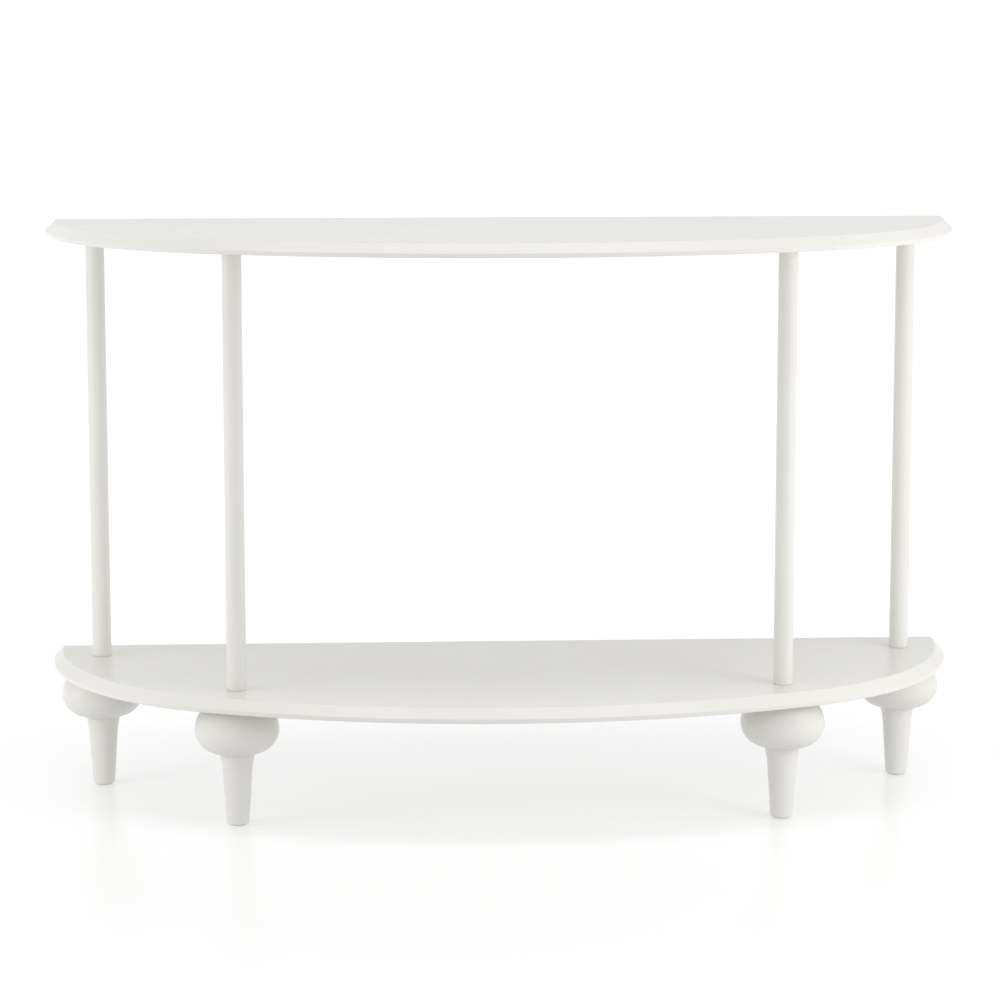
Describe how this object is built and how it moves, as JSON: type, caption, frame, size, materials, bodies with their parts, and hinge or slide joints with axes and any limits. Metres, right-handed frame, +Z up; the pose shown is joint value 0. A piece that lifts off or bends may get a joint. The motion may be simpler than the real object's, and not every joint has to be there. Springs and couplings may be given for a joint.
{
  "type": "console table",
  "caption": "Half-oval console table: a chamfered top and a matching low shelf joined by round posts and carried on turned bulb feet, to stand against a wall.",
  "frame": {"origin": "on the floor, at the centre of the footprint's bounding box", "axes": "+Z up, +X along the straight back edge to the right as seen from the curved front, +Y towards the back edge"},
  "size_m": [1.2192, 0.4063, 0.762],
  "materials": {
    "white_lacquer": "warm white satin lacquer over sealed wood",
    "nylon": "moulded, matte",
    "zinc_steel": "bright zinc plated",
    "brass_insert": "machined, unpolished"
  },
  "bodies": {
    "root": {"top_panel": "white_lacquer", "shelf_panel": "white_lacquer", "post_back_left": "white_lacquer", "post_back_right": "white_lacquer", "post_front_left": "white_lacquer", "post_front_right": "white_lacquer", "foot_back_left": "white_lacquer", "foot_back_right": "white_lacquer", "foot_front_left": "white_lacquer", "foot_front_right": "white_lacquer", "glide_back_left": "nylon", "glide_back_right": "nylon", "glide_front_left": "nylon", "glide_front_right": "nylon", "glide_nail_back_left": "zinc_steel", "glide_nail_back_right": "zinc_steel", "glide_nail_front_left": "zinc_steel", "glide_nail_front_right": "zinc_steel", "foot_stud_back_left": "zinc_steel", "foot_stud_back_right": "zinc_steel", "foot_stud_front_left": "zinc_steel", "foot_stud_front_right": "zinc_steel", "post_insert_back_left": "brass_insert", "post_insert_back_right": "brass_insert", "post_insert_front_left": "brass_insert", "post_insert_front_right": "brass_insert", "post_stud_back_left": "zinc_steel", "post_stud_back_right": "zinc_steel", "post_stud_front_left": "zinc_steel", "post_stud_front_right": "zinc_steel", "top_insert_back_left": "brass_insert", "top_insert_back_right": "brass_insert", "top_insert_front_left": "brass_insert", "top_insert_front_right": "brass_insert"}
  },
  "joints": []
}
